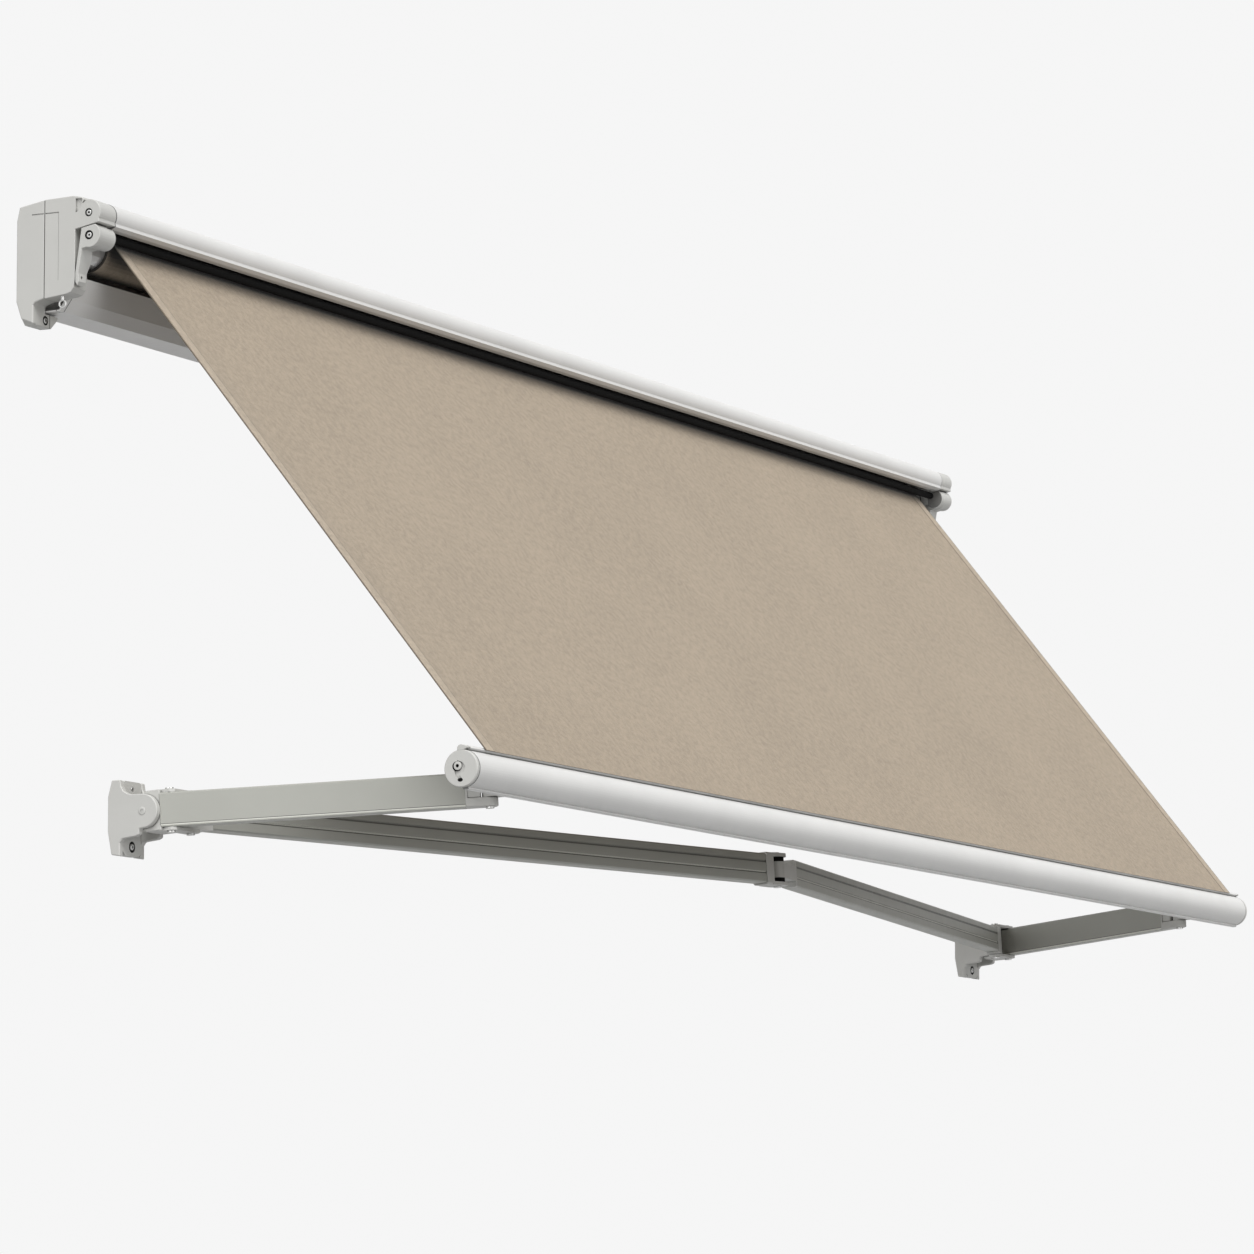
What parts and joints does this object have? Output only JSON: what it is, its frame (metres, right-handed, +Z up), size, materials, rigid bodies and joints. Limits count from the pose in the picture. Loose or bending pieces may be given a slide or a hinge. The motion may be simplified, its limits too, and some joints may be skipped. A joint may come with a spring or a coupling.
{
  "type": "canvas awning",
  "caption": "Wall-mounted drop-arm canvas awning: a narrow cassette with a roller, a taut sloping canvas and a round front bar on two braced arms.",
  "frame": {"origin": "middle of the rear housing's flat back face, on the wall plane that carries the cassette", "axes": "+X along the awning to the right as seen from the street, +Y into the wall, +Z up"},
  "size_m": [4.018, 0.9572, 1.2503],
  "materials": {
    "casting": "fine textured powder coat, warm light grey",
    "rail": "satin powder coat, light grey",
    "arm": "satin powder coat, greenish light grey",
    "canvas": "matt beige acrylic canvas",
    "steel": "bright zinc plated",
    "dark": "black plastic"
  },
  "bodies": {
    "wall_frame": {"left_wall_plate": "casting", "right_wall_plate": "casting", "left_end_cover": "casting", "right_end_cover": "casting", "left_guide_lever": "casting", "right_guide_lever": "casting", "top_rail": "rail", "rear_housing": "rail", "guide_tube": "dark", "canvas": "canvas", "left_arm_bracket": "casting", "right_arm_bracket": "casting", "left_tilt_pin": "steel", "right_tilt_pin": "steel"},
    "roller": {"roller_tube": "steel", "canvas_roll": "canvas", "left_roller_plug": "dark", "right_roller_plug": "dark"},
    "crank": {"crank_eye": "steel"},
    "arm_frame": {"left_shoulder": "casting", "right_shoulder": "casting", "left_arm_pin": "steel", "right_arm_pin": "steel", "left_brace_pin": "steel", "right_brace_pin": "steel", "left_arm": "arm", "right_arm": "arm", "left_arm_tip": "casting", "right_arm_tip": "casting", "left_tip_pin": "steel", "right_tip_pin": "steel", "left_bar_connector": "casting", "right_bar_connector": "casting", "front_bar": "rail", "left_bar_cap": "casting", "right_bar_cap": "casting", "left_brace": "arm", "right_brace": "arm", "left_brace_root": "casting", "right_brace_root": "casting", "elbow_fork": "casting", "elbow_tongue": "casting", "elbow_pin": "steel", "elbow_upper_bush": "dark", "elbow_lower_bush": "dark"}
  },
  "joints": [
    {"name": "arm_tilt", "type": "hinge", "parent": "wall_frame", "child": "arm_frame", "pos_m": [0, -0.29, -1.0705], "axis": [-1, 0, 0], "range_deg": [0, 70], "deforming": ["canvas"]},
    {"name": "roller_turn", "type": "hinge", "parent": "wall_frame", "child": "roller", "pos_m": [0, -0.085, 0.017], "axis": [-1, 0, 0], "range_deg": [0, 960]},
    {"name": "crank_turn", "type": "hinge", "parent": "wall_frame", "child": "crank", "pos_m": [-1.9895, -0.0965, -0.09], "axis": [0, 0, 1], "range_deg": [0, 3840]}
  ],
  "couplings": [
    {"joint": "roller_turn", "follows": "arm_tilt", "ratio": 13.7},
    {"joint": "crank_turn", "follows": "arm_tilt", "ratio": 54.8}
  ]
}
